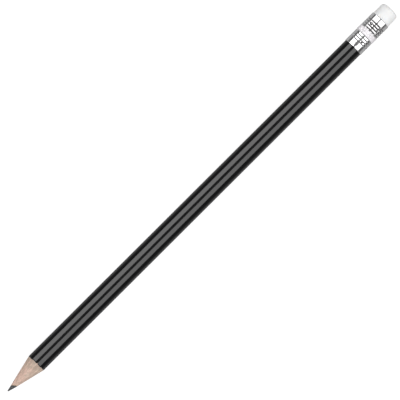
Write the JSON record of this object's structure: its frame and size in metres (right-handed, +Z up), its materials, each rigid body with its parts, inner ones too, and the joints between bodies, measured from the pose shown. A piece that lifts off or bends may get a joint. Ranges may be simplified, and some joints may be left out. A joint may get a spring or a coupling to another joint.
{
  "type": "graphite pencil",
  "caption": "Round lacquered wooden pencil, sharpened, with a graphite core, a crimped metal ferrule and a rounded eraser.",
  "frame": {"origin": "on the surface that the pencil lies on, under the middle of its length and of its width", "axes": "+X along the pencil from the writing point to the eraser, +Z up, +Y across it"},
  "size_m": [0.1882, 0.0076, 0.0077],
  "materials": {
    "graphite": "satin",
    "casing_wood": "matte",
    "wood_glue": "matte",
    "grey_lacquer": "gloss",
    "ferrule_sheet": "gloss",
    "eraser_rubber": "matte"
  },
  "bodies": {
    "root": {"graphite_core": "graphite", "upper_casing_slat": "casing_wood", "lower_casing_slat": "casing_wood", "slat_glue_film": "wood_glue", "lacquer_coat": "grey_lacquer", "ferrule": "ferrule_sheet", "eraser": "eraser_rubber"}
  },
  "joints": []
}
